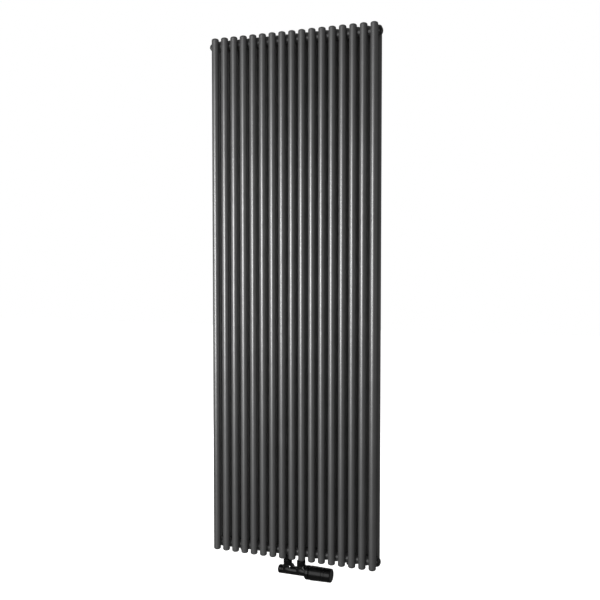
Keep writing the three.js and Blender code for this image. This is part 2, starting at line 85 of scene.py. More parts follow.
# Plugs
PLUG_PORT = 5 * MM              # how deep the header's port is modelled behind a plug
PLUG_SHANK_RADIUS = 8.5 * MM
VENT_HOLE_RADIUS = 3.3 * MM
VENT_HOLE_DEPTH = 11 * MM
KEY_ACROSS_FLATS = 8 * MM
KEY_DEPTH = 4 * MM

# Brackets
CRADLE_INNER = 16.2 * MM
CRADLE_OUTER = 22.2 * MM
CRADLE_LIP = 225                # degrees, where the cradle ends in front of the header
CRADLE_UNDER = 288              # degrees, where its outside meets the arm
CRADLE_BACK = 351               # degrees, where its inside meets the arm
HALF_ARM = 3 * MM
ARM_FOOT = 8 * MM               # from the plate's lower edge up to the arm
PLATE_THICKNESS = 4 * MM
PLATE_CORNER = 4 * MM
SCREW_HOLE_RADIUS = 4.2 * MM
SCREW_OFFSET = 22 * MM

# Valve
SPIGOT_RADIUS = 11.5 * MM
SPIGOT_REACH = 28 * MM
THREAD_RADIUS = 12.3 * MM       # inside the head's nut
NECK_RADIUS = 10.3 * MM         # inside the lips of the union nuts and the head's nut
LIP = 1.7 * MM                  # thickness of the head nut's lip and of the base's flange
UNION_ROUNDING = 2.2 * MM
NIPPLE_RADIUS = 8.7 * MM
NIPPLE_BORE = 7 * MM
NIPPLE_FLANGE = 3 * MM
PIPE_BORE = 7.6 * MM
PIPE_NUT_CHAMFER = 1.8 * MM
PIPE_NUT_CONE = 0.6             # the chamfer's length over its height
CAP_BORE = 11.8 * MM
CAP_WALL = 4 * MM

# Head
CORE_RADIUS = 14 * MM
BASE_NECK = 10 * MM
BASE_BORE = 7 * MM
WHEEL_END_RADIUS = 23.3 * MM
WHEEL_BORE = 15 * MM
WHEEL_CHAMFER = 2.6 * MM
WHEEL_WALL = 3 * MM
WHEEL_END_WALL = 3.2 * MM
WHEEL_DISC_RADIUS = 17 * MM     # the sunk disc in its end
WHEEL_DISC_DEPTH = 0.5 * MM
GROOVE_PLACES = (32 * MM, 22.5 * MM)    # from the wheel's end


# ---- Places read from the frame ------------------------------------------------------

def middle(node):
    """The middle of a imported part's box."""
    low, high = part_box(node)
    return (low + high) / 2


def tube_names(row):
    return [f"{row}_tube_{number:02d}" for number in range(1, TUBES_PER_ROW + 1)]


TUBE_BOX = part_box("front_tube_01")
TUBE_RADIUS = (TUBE_BOX[1].x - TUBE_BOX[0].x) / 2
HEADER_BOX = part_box("top_header")
HEADER_CENTRE = middle("top_header")
HEADER_RADIUS = (HEADER_BOX[1].z - HEADER_BOX[0].z) / 2
VALVE_AXIS = middle("handwheel")
UNION_X = {side: middle(f"{side}_union_nut").x for side in SIDES}


# ---- Settings ------------------------------------------------------------------------

def size(name, description, default):
    return FloatProperty(name=name, description=description, default=default, unit="LENGTH",
                         precision=5)


def colour(name, description, code):
    return FloatVectorProperty(name=name, description=description, subtype="COLOR_GAMMA",
                               default=tuple(int(code[i:i + 2], 16) / 255 for i in (1, 3, 5)))


class RadiatorSizes(bpy.types.PropertyGroup):
    """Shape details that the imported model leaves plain."""
    tube_segments: IntProperty(name="Tube segments", description="Faces round a tube", default=64)
    end_rounding: size("End rounding", "Edge radius of the tubes' closed ends", 6 * MM)
    end_crown: size("End crown", "Radius of the tubes' end domes", 20 * MM)
    weld_bead: size("Weld bead", "Thickness of the welds between tubes and headers", 1.3 * MM)
    edge: size("Edge", "Radius of a machined edge", 0.5 * MM)


class ValveSizes(bpy.types.PropertyGroup):
    """Shape details of the valve and its head."""
    casting_blend: size("Casting blend", "Blend between the block's stubs and barrel", 6 * MM)
    casting_edge: size("Casting edge", "Edge radius of the cast block", 0.8 * MM)
    casting_cell: size("Casting cell", "Mesh size of the cast block", 0.55 * MM)
    cap_rounding: size("Cap rounding", "Edge radius of the lockshield cap", 5 * MM)
    nut_rounding: size("Nut rounding", "Edge radius of the head's nut", 6 * MM)
    groove_width: size("Groove width", "Width of the grip grooves", 2.0 * MM)
    groove_depth: size("Groove depth", "Depth of the grip grooves", 1.3 * MM)


class RadiatorColours(bpy.types.PropertyGroup):
    """Finishes, as screen colours."""
    powder_coat: colour("Powder coat", "Metallic coating of the tubes and headers", "#767676")
    lacquer: colour("Lacquer", "Gloss lacquer of the valve", "#060606")
    moulding: colour("Moulding", "Moulded plastic of the head", "#090909")
    brass: colour("Brass", "Machined brass of the inner fittings", "#c9a15c")
    steel: colour("Steel", "Ground steel of the pins and the spring", "#b9bbbe")
    sensor_cup: colour("Sensor cup", "Drawn metal cup of the wax sensor", "#c8c6bd")
    floor: colour("Floor", "Plain studio floor", "#f4f4f2")


# ---- Mesh tools ----------------------------------------------------------------------

def rounded(points, radii, steps=6):
    """The outline through the points, with an arc of its radius at each inner corner."""
    corners = [Vector(point) for point in points]
    outline = [corners[0]]
    for before, corner, after, radius in zip(corners, corners[1:], corners[2:], radii):
        back, ahead = (before - corner).normalized(), (after - corner).normalized()
        half = back.angle(ahead) / 2
        reach = min(radius / math.tan(half), (before - corner).length / 2,
                    (after - corner).length / 2) if radius else 0
        if reach < 1e-7:
            outline.append(corner)
            continue
        centre = corner + (back + ahead).normalized() * (reach / math.cos(half))
        start, end = corner + back * reach - centre, corner + ahead * reach - centre
        turn = start.angle_signed(end)
        for step in range(steps + 1):
            angle = -turn * step / steps
            outline.append(centre + Matrix.Rotation(angle, 2) @ start)
    outline.append(corners[-1])
    return outline


def arc(centre, radius, start, end, steps):
    """Points of an arc, with its angles in degrees."""
    angles = [math.radians(start + (end - start) * step / steps) for step in range(steps + 1)]
    return [Vector((centre[0] + radius * math.cos(a), centre[1] + radius * math.sin(a)))
            for a in angles]


def spun(outline, axis, centre, segments):
    """A mesh turned about an axis through centre. Outline points are (along, radius)."""
    bm = bmesh.new()
    along, across = AXES[axis], SIDEWAYS[axis]
    verts = [bm.verts.new(centre + along * point[0] + across * point[1]) for point in outline]
    edges = [bm.edges.new(pair) for pair in zip(verts, verts[1:])]
    bmesh.ops.spin(bm, geom=verts + edges, cent=centre, axis=along, angle=math.tau,
                   steps=segments, use_merge=True)
    bmesh.ops.remove_doubles(bm, verts=bm.verts, dist=1e-6)
    bmesh.ops.recalc_face_normals(bm, faces=bm.faces)
    return bm


def plain_round(radius, start, end, axis, centre, segments=64):
    """A round bar along an axis, closed at both ends."""
    outline = [(start, 0), (start, radius), (end, radius), (end, 0)]
    return spun(outline, axis, centre, segments)


def hexagon(across_flats, start, end, axis, centre):
    """A six-sided bar along an axis, with two corners level with its centre."""
    corner = across_flats / 2 / math.cos(math.pi / 6)
    along, across = AXES[axis], SIDEWAYS[axis]
    turn = Matrix((across.cross(along), across, along)).transposed().to_4x4()
    place = Matrix.Translation(centre + along * (start + end) / 2)
    bm = bmesh.new()
    bmesh.ops.create_cone(bm, cap_ends=True, segments=6, depth=end - start, radius1=corner,
                          radius2=corner, matrix=place @ turn)
    return bm


def block_of(low, high):
    """A rectangular block between two corners."""
    bm = bmesh.new()
    extent = Vector(high) - Vector(low)
    place = Matrix.Translation((Vector(low) + Vector(high)) / 2) @ Matrix.Diagonal((*extent, 1))
    bmesh.ops.create_cube(bm, size=1, matrix=place)
    return bm


def soften(bm, width, sharp=0.6, segments=3):
    """Rounds every edge that is sharper than the angle in radians."""
    edges = [edge for edge in bm.edges if edge.calc_face_angle(0) > sharp]
    bmesh.ops.bevel(bm, geom=edges, offset=width, segments=segments, profile=0.5,
                    affect="EDGES", material=-1, clamp_overlap=True)


def mesh_object(bm, name):
    """An object of the mesh, shaded smooth except over its sharp edges."""
    for face in bm.faces:
        face.smooth = True
    for edge in bm.edges:
        edge.smooth = edge.calc_face_angle(0) < math.radians(35)
    mesh = bpy.data.meshes.new(name)
    bm.to_mesh(mesh)
    bm.free()
    item = bpy.data.objects.new(name, mesh)
    bpy.context.scene.collection.objects.link(item)
    return item


def with_modifiers(bm, add_modifiers):
    """The mesh after the modifiers that a function adds to it."""
    item = mesh_object(bm, "worked_piece")
    add_modifiers(item)
    graph = bpy.context.evaluated_depsgraph_get()
    mesh = bpy.data.meshes.new_from_object(item.evaluated_get(graph))
    result = bmesh.new()
    result.from_mesh(mesh)
    remove(item)
    bpy.data.meshes.remove(mesh)
    return result


def remove(item):
    mesh = item.data
    bpy.data.objects.remove(item)
    bpy.data.meshes.remove(mesh)


def combined(bm, others, operation):
    """The mesh with others joined to it or cut from it."""
    for other in others:
        tool = mesh_object(other, "tool")

        def add_boolean(item):
            modifier = item.modifiers.new("boolean", "BOOLEAN")
            modifier.operation = operation
            modifier.object = tool
            modifier.solver = "EXACT"

        bm = with_modifiers(bm, add_boolean)
        remove(tool)
    return bm


def finished(bm, name, material, body, slot, *nodes):
    """Makes the mesh a piece that rides on a body and stands for its nodes."""
    item = mesh_object(bm, name)
    item.data.materials.append(material)
    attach(item, body)
    if nodes:
        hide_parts(*nodes)
    return item


# ---- Materials -----------------------------------------------------------------------

def linear(screen_colour):
    """The linear value of a screen colour."""
    return tuple(c / 12.92 if c <= 0.04045 else ((c + 0.055) / 1.055) ** 2.4
                 for c in screen_colour) + (1.0,)


def add_node(tree, kind, settings=None, links=None):
    """Adds a node, sets its properties or input values, and links its inputs."""
    node = tree.nodes.new(kind)
    for name, value in (settings or {}).items():
        if name in node.inputs:
            node.inputs[name].default_value = value
        else:
            setattr(node, name, value)
    for name, output in (links or {}).items():
        tree.links.new(output, node.inputs[name])
    return node


def surface(name, colour_value, grain_mm, grain_depth, roughness, spread, shade=0.12, **sockets):
    """
    A coated or moulded surface: one colour that drifts slightly, roughness that varies about a
    value, and a fine skin of the given grain size and depth.
    """
    material = bpy.data.materials.new(name)
    material.use_nodes = True
    tree = material.node_tree
    tree.nodes.clear()
    output = add_node(tree, "ShaderNodeOutputMaterial")
    place = add_node(tree, "ShaderNodeTexCoord").outputs["Object"]
    drift = add_node(tree, "ShaderNodeTexNoise", {"Scale": 9.0, "Detail": 3.0}, {"Vector": place})
    grain = add_node(tree, "ShaderNodeTexNoise",
                     {"Scale": 1000 / grain_mm, "Detail": 2.0, "Roughness": 0.45},
                     {"Vector": place})
    base = linear(colour_value)
    tints = add_node(tree, "ShaderNodeMix", {"data_type": "RGBA"},
                     {"Factor": drift.outputs["Fac"]})
    tints.inputs[6].default_value = tuple(c * (1 - shade) for c in base[:3]) + (1,)
    tints.inputs[7].default_value = tuple(c * (1 + shade) for c in base[:3]) + (1,)
    rough = add_node(tree, "ShaderNodeMapRange",
                     {"To Min": roughness - spread, "To Max": roughness + spread},
                     {"Value": drift.outputs["Fac"]})
    bump = add_node(tree, "ShaderNodeBump",
                    {"Strength": 1.0, "Distance": grain_depth * MM},
                    {"Height": grain.outputs["Fac"]})
    shader = add_node(tree, "ShaderNodeBsdfPrincipled", sockets,
                      {"Base Color": tints.outputs[2], "Roughness": rough.outputs["Result"],
                       "Normal": bump.outputs["Normal"]})
    tree.links.new(shader.outputs["BSDF"], output.inputs["Surface"])
    return material


FINISHES = {}


def make_finishes():
    """Makes each finish once, from the colours in the scene's settings."""
    shades = bpy.context.scene.radiator_colours
    # Anthracite metallic powder coat: aluminium flakes under a clear film give each tube a broad
    # bright line, and baking leaves a faint orange peel.
    FINISHES["satin_paint"] = surface(
        "anthracite_metallic_powder_coat", shades.powder_coat, 1.6, 0.010, 0.40, 0.02,
        **{"Metallic": 0.75, "Coat Weight": 0.1, "Coat Roughness": 0.2})
    FINISHES["bracket_paint"] = surface(
        "anthracite_bracket_coat", shades.powder_coat, 1.1, 0.02, 0.48, 0.03,
        **{"Metallic": 0.75})
    # Wet-sprayed lacquer on brass: deep black and glossy, with a slow orange peel.
    FINISHES["valve_enamel"] = surface(
        "gloss_black_lacquer", shades.lacquer, 3.0, 0.004, 0.20, 0.02,
        **{"Coat Weight": 0.3, "Coat Roughness": 0.07, "IOR": 1.5})
    FINISHES["gloss_plug"] = surface(
        "gloss_plug_lacquer", shades.lacquer, 3.0, 0.003, 0.12, 0.02,
        **{"Coat Weight": 1.0, "Coat Roughness": 0.04, "IOR": 1.5})
    # Moulded ABS: a close satin skin off a spark-eroded mould.
    FINISHES["head_plastic"] = surface(
        "moulded_black_abs", shades.moulding, 0.5, 0.006, 0.30, 0.02,
        **{"Coat Weight": 0.15, "Coat Roughness": 0.12, "IOR": 1.53})
    # Turned brass and steel: bare metal with fine tool marks.
    FINISHES["brass"] = surface(
        "machined_brass", shades.brass, 0.3, 0.004, 0.28, 0.05, **{"Metallic": 1.0})
    FINISHES["spindle_steel"] = surface(
        "ground_steel", shades.steel, 0.2, 0.003, 0.25, 0.05, **{"Metallic": 1.0})
    FINISHES["sensor_cup"] = surface(
        "drawn_sensor_cup", shades.sensor_cup, 0.6, 0.004, 0.35, 0.05, **{"Metallic": 1.0})


# ---- Operators -----------------------------------------------------------------------

class RADIATOR_OT_finishes(bpy.types.Operator):
    """Makes the finishes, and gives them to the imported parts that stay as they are"""
    bl_idname = "radiator.finishes"
    bl_label = "Finishes"

    def execute(self, context):
        make_finishes()
        slots = {row["node"]: row["material_slot"] for row in frame["record"]["subparts"]}
        for name, item in frame["nodes"].items():
            item.data.materials.clear()
            item.data.materials.append(FINISHES[slots[name]])
        return {"FINISHED"}


class RADIATOR_OT_tubes(bpy.types.Operator):
    """Models the two rows of tubes with their pressed and welded ends"""
    bl_idname = "radiator.tubes"
    bl_label = "Tubes"

    def execute(self, context):
        sizes = context.scene.radiator_sizes
        for row in ROWS:
            for name in tube_names(row):
                low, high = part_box(name)
                centre = (low + high) / 2
                half = (high.z - low.z) / 2
                bm = spun(self.outline(sizes, half), "z", centre, sizes.tube_segments)
                finished(bm, f"fine_{name}", FINISHES["satin_paint"], "radiator",
                         "satin_paint", name)
        return {"FINISHED"}

    @staticmethod
    def outline(sizes, half):
        """Half a tube's section: a crown, a tangent knuckle, the straight wall, and the same."""
        knuckle, crown = sizes.end_rounding, sizes.end_crown
        across = TUBE_RADIUS - knuckle
        tangent = math.degrees(math.asin(across / (crown - knuckle)))
        crown_centre = half - crown
        knuckle_centre = crown_centre + math.sqrt((crown - knuckle) ** 2 - across ** 2)
        top = arc((knuckle_centre, across), knuckle, 90, tangent, 7)
        top += arc((crown_centre, 0), crown, tangent, 0, 5)[1:]
        bottom = [Vector((-point.x, point.y)) for point in reversed(top)]
        return bottom + top


class RADIATOR_OT_headers(bpy.types.Operator):
    """Models the headers and the welds that join them to the tubes"""
    bl_idname = "radiator.headers"
    bl_label = "Headers"

    def execute(self, context):
        sizes = context.scene.radiator_sizes
        for height in HEIGHTS:
            node = f"{height}_header"
            low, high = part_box(node)
            centre = Vector((0, HEADER_CENTRE.y, (low.z + high.z) / 2))
            dome_base = -high.x
            dome_height = dome_base - low.x
            dome = [Vector((dome_base - dome_height * math.cos(a), HEADER_RADIUS * math.sin(a)))
                    for a in (math.radians(90 * step / 12) for step in range(13))]
            end = rounded([(dome_base, HEADER_RADIUS), (high.x, HEADER_RADIUS),
                           (high.x, HEADER_RADIUS / 2), (high.x - PLUG_PORT, HEADER_RADIUS / 2),
                           (high.x - PLUG_PORT, 0)], [sizes.edge, sizes.edge, 0], 3)
            bm = spun(dome + end[1:], "x", centre, 64)
            finished(bm, f"fine_{node}", FINISHES["satin_paint"], "radiator", "satin_paint", node)
            self.welds(height, centre, sizes.weld_bead / 2)
        return {"FINISHED"}

    def welds(self, height, centre, bead):
        """One bead round each place where a tube meets the header."""
        for row in ROWS:
            row_y = middle(f"{row}_tube_01").y
            apart = abs(row_y - centre.y)
            side = math.copysign(1, row_y - centre.y)
            curve = bpy.data.curves.new("weld", "CURVE")
            curve.dimensions = "3D"
            curve.bevel_depth = bead
            curve.bevel_resolution = 2
            for name in tube_names(row):
                tube_x = middle(name).x
                self.add_loop(curve, centre, tube_x, apart, side)
            item = bpy.data.objects.new("weld", curve)
            bpy.context.scene.collection.objects.link(item)
            graph = bpy.context.evaluated_depsgraph_get()
            mesh = bpy.data.meshes.new_from_object(item.evaluated_get(graph))
            bm = bmesh.new()
            bm.from_mesh(mesh)
            bpy.data.objects.remove(item)
            bpy.data.curves.remove(curve)
            bpy.data.meshes.remove(mesh)
            finished(bm, f"{height}_{row}_weld_beads", FINISHES["satin_paint"], "radiator",
                     "satin_paint")

    @staticmethod
    def add_loop(curve, centre, tube_x, apart, side):
        """The closed line where a tube's wall crosses the header's."""
        tallest = math.sqrt(HEADER_RADIUS ** 2 - (apart - TUBE_RADIUS) ** 2)
        steps = 32
        spline = curve.splines.new("POLY")
        spline.points.add(steps - 1)
        spline.use_cyclic_u = True
        for step, point in enumerate(spline.points):
            angle = math.tau * step / steps
            up = tallest * math.sin(angle)
            out = math.sqrt(HEADER_RADIUS ** 2 - up ** 2)
            across = math.sqrt(max(TUBE_RADIUS ** 2 - (apart - out) ** 2, 0))
            point.co = (tube_x + math.copysign(across, math.cos(angle)),
                        centre.y + side * out, centre.z + up, 1)


class RADIATOR_OT_plugs(bpy.types.Operator):
    """Models the blind plug and the vent plug"""
    bl_idname = "radiator.plugs"
    bl_label = "Plugs"

    def execute(self, context):
        for node in ("vent_plug", "blind_plug"):
            low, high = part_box(node)
            centre = Vector((0, HEADER_CENTRE.y, (low.z + high.z) / 2))
            seat = HEADER_BOX[1].x + FIXED_GAP
            height = high.x - seat
            dome = [Vector((seat + height * math.cos(a), HEADER_RADIUS * math.sin(a)))
                    for a in (math.pi / 2 * step / 14 for step in range(15))]
            outline = [(low.x, 0), (low.x, PLUG_SHANK_RADIUS), (seat, PLUG_SHANK_RADIUS),
                       *reversed(dome)]
            bm = spun(outline, "x", centre, 64)
            if node == "vent_plug":
                hole = plain_round(VENT_HOLE_RADIUS, high.x - VENT_HOLE_DEPTH, high.x + MM, "x",
                                   centre, 32)
            else:
                hole = hexagon(KEY_ACROSS_FLATS, high.x - KEY_DEPTH, high.x + MM, "x", centre)
            bm = combined(bm, [hole], "DIFFERENCE")
            finished(bm, f"fine_{node}", FINISHES["gloss_plug"], "radiator", "gloss_plug", node)
        return {"FINISHED"}


class RADIATOR_OT_brackets(bpy.types.Operator):
    """Models the four wall brackets"""
    bl_idname = "radiator.brackets"
    bl_label = "Brackets"

    def execute(self, context):
        sizes = context.scene.radiator_sizes
        for height in HEIGHTS:
            header = middle(f"{height}_header")
            for side in SIDES:
                node = f"{height}_{side}_bracket"
                finished(self.bracket(node, header, sizes.edge), f"fine_{node}",
                         FINISHES["bracket_paint"], "radiator", "bracket_paint", node)
        return {"FINISHED"}

    @staticmethod
    def bracket(node, header, edge):
        low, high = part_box(node)
        centre_x = (low.x + high.x) / 2
        plate_front = high.y - PLATE_THICKNESS
        cradle = (header.y, header.z)
        arm_top = header.z + CRADLE_INNER * math.sin(math.radians(CRADLE_BACK))
        side = arc(cradle, CRADLE_OUTER, CRADLE_LIP, CRADLE_UNDER, 14)
        side += [Vector((plate_front + MM, low.z + ARM_FOOT)),
                 Vector((plate_front + MM, arm_top))]
        side += arc(cradle, CRADLE_INNER, CRADLE_BACK, CRADLE_LIP, 24)
        arm = bmesh.new()
        face = arm.faces.new([arm.verts.new((centre_x - HALF_ARM, p.x, p.y)) for p in side])
        moved = bmesh.ops.extrude_face_region(arm, geom=[face])["geom"]
        bmesh.ops.translate(arm, vec=(2 * HALF_ARM, 0, 0),
                            verts=[v for v in moved if isinstance(v, bmesh.types.BMVert)])
        bmesh.ops.recalc_face_normals(arm, faces=arm.faces)
        soften(arm, edge)
        plate = block_of((low.x, plate_front, low.z), (high.x, high.y, high.z))
        uprights = [e for e in plate.edges if abs((e.verts[0].co - e.verts[1].co).y) > MM]
        bmesh.ops.bevel(plate, geom=uprights, offset=PLATE_CORNER, segments=5, profile=0.5,
                        affect="EDGES", material=-1)
        soften(plate, edge, segments=2)
        middle_z = (low.z + high.z) / 2
        holes = [plain_round(SCREW_HOLE_RADIUS, plate_front - MM, high.y + MM, "y",
                             Vector((centre_x + end * SCREW_OFFSET, 0, middle_z)), 32)
                 for end in (-1, 1)]
        return combined(combined(plate, holes, "DIFFERENCE"), [arm], "UNION")


class RADIATOR_OT_valve_block(bpy.types.Operator):
    """Models the cast valve block, with its stubs blended into the barrel"""
    bl_idname = "radiator.valve_block"
    bl_label = "Valve block"

    def execute(self, context):
        sizes = context.scene.valve_sizes
        cap_low, cap_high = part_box("lockshield_cap")
        nut_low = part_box("head_nut")[0]
        union_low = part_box("left_union_nut")[0]
        radius = (cap_high.z - cap_low.z) / 2
        left, right = cap_high.x + FIXED_GAP, nut_low.x - FIXED_GAP
        stub_height = union_low.z - FIXED_GAP - VALVE_AXIS.z
        rounds = [("x", left, right, VALVE_AXIS, radius)]
        for side in SIDES:
            foot = Vector((UNION_X[side], VALVE_AXIS.y, VALVE_AXIS.z))
            rounds.append(("z", 0, stub_height, foot, radius))
            rounds.append(("y", 0, SPIGOT_REACH, foot, SPIGOT_RADIUS))
        rounds = [(axis, start, end, Vector((0, c.y, c.z)) if axis == "x" else c, r)
                  for axis, start, end, c, r in rounds]
        shapes = [plain_round(r, start, end, axis, c, 48) for axis, start, end, c, r in rounds]
        whole = combined(shapes[0], shapes[1:], "UNION")

        def add_remesh(item):
            modifier = item.modifiers.new("remesh", "REMESH")
            modifier.mode = "VOXEL"
            modifier.voxel_size = sizes.casting_cell

        bm = with_modifiers(whole, add_remesh)
        self.blend(bm, rounds, sizes)
        finished(bm, "fine_valve_block", FINISHES["valve_enamel"], "radiator", "valve_enamel",
                 "valve_block")
        return {"FINISHED"}

    @staticmethod
    def blend(bm, rounds, sizes):
        """Moves every point onto the smooth union of the rounds."""
        points = np.array([v.co for v in bm.verts])

        def distance(places):
            total = None
            for axis, start, end, centre, radius in rounds:
                along = np.array(AXES[axis])
                offset = places - np.array(centre)
                height = offset @ along
                out = np.linalg.norm(offset - height[:, None] * along, axis=1)
                edge = sizes.casting_edge
                past = np.stack([out - radius + edge,
                                 np.abs(height - (start + end) / 2) - (end - start) / 2 + edge])
                here = (np.linalg.norm(np.maximum(past, 0), axis=0)
                        + np.minimum(past.max(0), 0) - edge)
                if total is None:
                    total = here
                    continue
                near = np.maximum(sizes.casting_blend - np.abs(total - here), 0)
                total = np.minimum(total, here) - near ** 2 / sizes.casting_blend / 4
            return total

        small = 0.02 * MM
        steps = np.eye(3) * small
        for _ in range(6):
            here = distance(points)
            slope = np.stack([distance(points + step) - distance(points - step)
                              for step in steps], axis=1) / (2 * small)
            slope /= np.maximum(np.linalg.norm(slope, axis=1, keepdims=True), 1e-6)
            points -= slope * here[:, None]
        for vert, place in zip(bm.verts, points):
            vert.co = place


class RADIATOR_OT_unions(bpy.types.Operator):
    """Models the union nuts, the nipples above them and the nuts for the wall pipes"""
    bl_idname = "radiator.unions"
    bl_label = "Unions"

    def execute(self, context):
        edge = context.scene.radiator_sizes.edge
        for side in SIDES:
            self.union_nut(f"{side}_union_nut", edge)
            self.nipple(f"{side}_tail_nipple", edge)
            self.pipe_nut(f"{side}_pipe_nut", edge)
        return {"FINISHED"}

    @staticmethod
    def union_nut(node, edge):
        low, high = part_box(node)
        centre = Vector(((low.x + high.x) / 2, VALVE_AXIS.y, 0))
        outer, neck = (high.x - low.x) / 2, NECK_RADIUS
        outline = rounded([(low.z, neck), (low.z, outer), (high.z, outer), (high.z, neck),
                           (low.z, neck)], [edge, UNION_ROUNDING, edge], 6)
        finished(spun(outline, "z", centre, 72), f"fine_{node}", FINISHES["valve_enamel"],
                 "radiator", "valve_enamel", node)

    @staticmethod
    def nipple(node, edge):
        low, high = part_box(node)
        centre = Vector(((low.x + high.x) / 2, VALVE_AXIS.y, 0))
        flange, step = (high.x - low.x) / 2, low.z + NIPPLE_FLANGE
        outline = rounded([(low.z, NIPPLE_BORE), (low.z, flange), (step, flange),
                           (step, NIPPLE_RADIUS), (high.z, NIPPLE_RADIUS),
                           (high.z, NIPPLE_BORE), (low.z, NIPPLE_BORE)],
                          [edge, edge, 0, edge, 0], 3)
        finished(spun(outline, "z", centre, 64), f"fine_{node}", FINISHES["valve_enamel"],
                 "radiator", "valve_enamel", node)

    @staticmethod
    def pipe_nut(node, edge):
        low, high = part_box(node)
        centre = Vector(((low.x + high.x) / 2, 0, VALVE_AXIS.z))
        nut = hexagon(high.z - low.z, low.y, high.y, "y", centre)
        corner = (high.z - low.z) / 2 / math.cos(math.pi / 6) + 0.1 * MM
        face, cone = corner - PIPE_NUT_CHAMFER, PIPE_NUT_CONE * PIPE_NUT_CHAMFER
        body = spun([(low.y, 0), (low.y, face), (low.y + cone, corner), (high.y - cone, corner),
                     (high.y, face), (high.y, 0)], "y", centre, 64)
        bore = plain_round(PIPE_BORE, low.y - MM, high.y + MM, "y", centre, 64)
        nut = combined(combined(nut, [body], "INTERSECT"), [bore], "DIFFERENCE")
        finished(nut, f"fine_{node}", FINISHES["valve_enamel"], "radiator", "valve_enamel", node)


class RADIATOR_OT_lockshield(bpy.types.Operator):
    """Models the round-nosed lockshield cap"""
    bl_idname = "radiator.lockshield"
    bl_label = "Lockshield"

    def execute(self, context):
        low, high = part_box("lockshield_cap")
        centre = Vector((0, VALVE_AXIS.y, VALVE_AXIS.z))
        outer = (high.z - low.z) / 2
        rounding = context.scene.valve_sizes.cap_rounding
        edge = context.scene.radiator_sizes.edge
        outline = rounded([(low.x, 0), (low.x, outer), (high.x, outer), (high.x, CAP_BORE),
                           (low.x + CAP_WALL, CAP_BORE), (low.x + CAP_WALL, 0)],
                          [rounding, edge, 0, 0], 10)
        finished(spun(outline, "x", centre, 72), "fine_lockshield_cap",
                 FINISHES["valve_enamel"], "radiator", "head_plastic", "lockshield_cap")
        return {"FINISHED"}


class RADIATOR_OT_head(bpy.types.Operator):
    """Models the thermostatic head: its nut, its fixed base and its handwheel"""
    bl_idname = "radiator.head"
    bl_label = "Thermostatic head"

    def execute(self, context):
        sizes = context.scene.valve_sizes
        edge = context.scene.radiator_sizes.edge
        centre = Vector((0, VALVE_AXIS.y, VALVE_AXIS.z))
        self.nut(centre, edge, sizes.nut_rounding)
        self.base(centre, edge)
        self.handwheel(centre, sizes)
        return {"FINISHED"}

    @staticmethod
    def nut(centre, edge, rounding):
        low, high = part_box("head_nut")
        outer, lip = (high.z - low.z) / 2, high.x - LIP
        outline = rounded([(low.x, THREAD_RADIUS), (low.x, outer), (high.x, outer),
                           (high.x, NECK_RADIUS), (lip, NECK_RADIUS), (lip, THREAD_RADIUS),
                           (low.x, THREAD_RADIUS)],
                          [rounding, edge, edge, 0, 0], 10)
        finished(spun(outline, "x", centre, 96), "fine_head_nut", FINISHES["valve_enamel"],
                 "radiator", "valve_enamel", "head_nut")

    @staticmethod
    def base(centre, edge):
        low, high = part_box("head_base")
        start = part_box("head_nut")[1].x + FIXED_GAP
        end = start + LIP
        flange = (high.z - low.z) / 2
        outline = rounded([(low.x, BASE_BORE), (low.x, BASE_NECK), (start, BASE_NECK),
                           (start, flange), (end, flange), (end, CORE_RADIUS),
                           (high.x, CORE_RADIUS), (high.x, BASE_BORE), (low.x, BASE_BORE)],
                          [edge, 0, edge, edge, 0, edge, edge], 3)
        finished(spun(outline, "x", centre, 72), "fine_head_base", FINISHES["head_plastic"],
                 "radiator", "head_plastic", "head_base")

    @staticmethod
    def handwheel(centre, sizes):
        low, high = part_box("handwheel")
        start, length = low.x, high.x - low.x
        rim, end = (high.z - low.z) / 2, WHEEL_END_RADIUS
        disc, sunk = WHEEL_DISC_RADIUS, high.x - WHEEL_DISC_DEPTH

        def radius(x):
            past = max(x - start - WHEEL_CHAMFER, 0)
            return rim + (end - rim) * past / (length - WHEEL_CHAMFER)

        half, deep = sizes.groove_width / 2, sizes.groove_depth
        points = [(start, WHEEL_BORE), (start, rim - WHEEL_CHAMFER), (start + WHEEL_CHAMFER, rim)]
        radii = [0.5 * MM, 1.2 * MM]
        for groove in (high.x - place for place in GROOVE_PLACES):
            points += [(groove - half, radius(groove)), (groove - half / 2, radius(groove) - deep),
                       (groove + half / 2, radius(groove) - deep), (groove + half, radius(groove))]
            radii += [0.3 * MM] * 4
        points += [(high.x, end), (high.x, disc + 0.5 * MM), (sunk, disc), (sunk, 0)]
        radii += [3 * MM, 0.2 * MM, 0.2 * MM]
        outline = rounded(points, radii, 5)
        inner = [(high.x - WHEEL_END_WALL, 0), (high.x - WHEEL_END_WALL, end - WHEEL_WALL),
                 (start + WHEEL_WALL, rim - WHEEL_WALL), (start + WHEEL_WALL, WHEEL_BORE)]
        bm = spun(inner + outline, "x", centre, 96)
        finished(bm, "fine_handwheel", FINISHES["head_plastic"], "handwheel", "head_plastic",
                 "handwheel")


